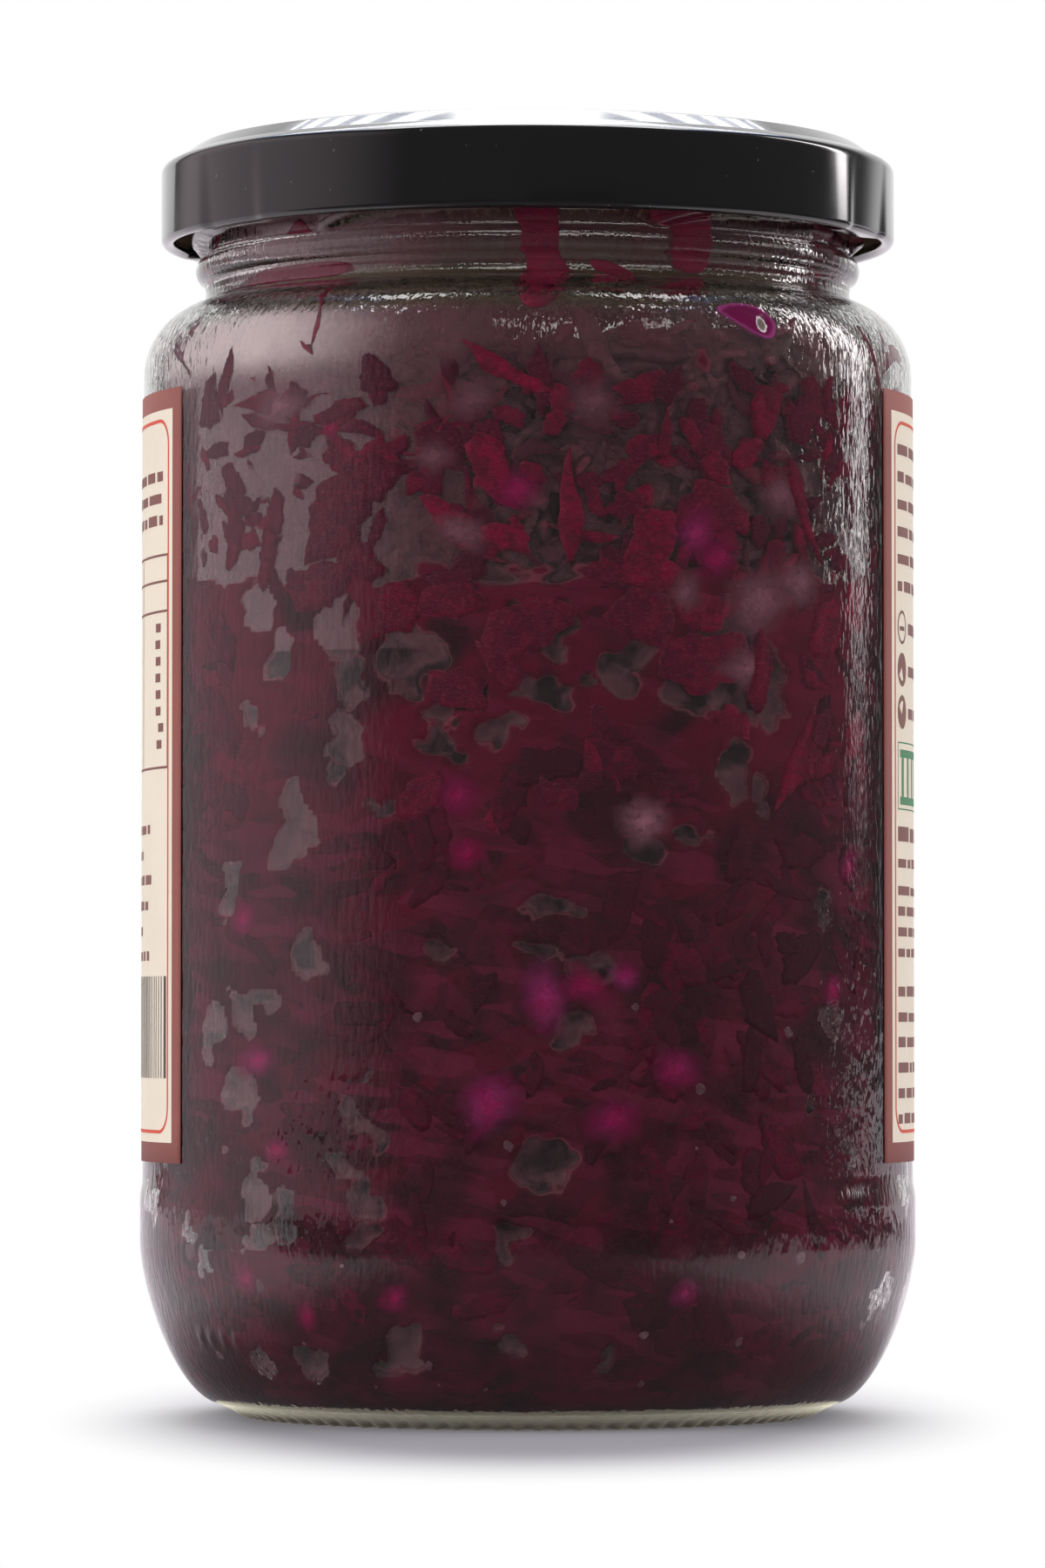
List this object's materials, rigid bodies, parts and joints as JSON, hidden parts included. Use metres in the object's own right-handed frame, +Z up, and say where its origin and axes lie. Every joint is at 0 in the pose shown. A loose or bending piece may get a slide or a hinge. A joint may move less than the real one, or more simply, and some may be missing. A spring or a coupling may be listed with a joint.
{
  "type": "sauerkraut jar",
  "caption": "Round glass jar packed with shredded red-cabbage sauerkraut, closed by a black twist-off lug lid, with a paper label that wraps the back and sides.",
  "frame": {"origin": "centre of the jar's foot, on the surface it stands on", "axes": "+Z up along the jar's axis, -Y towards the bare strip of glass between the label's two ends, +X to that view's right"},
  "size_m": [0.0898, 0.0898, 0.1467],
  "materials": {
    "jar_glass": "clear pressed soda-lime glass with a faint green-yellow edge and a slightly rippled surface",
    "lid_lacquer": "gloss black lacquered tinplate",
    "label_paper": null,
    "cabbage": "wet fermented red cabbage shreds in dark purple brine"
  },
  "bodies": {
    "root": {"jar": "jar_glass", "lid": "lid_lacquer", "label": "label_paper", "kraut": "cabbage", "shred_neck_long": "cabbage", "shred_neck_broad": "cabbage", "shred_neck_small": "cabbage", "shred_neck_band": "cabbage", "shred_neck_flake": "cabbage"}
  },
  "joints": []
}
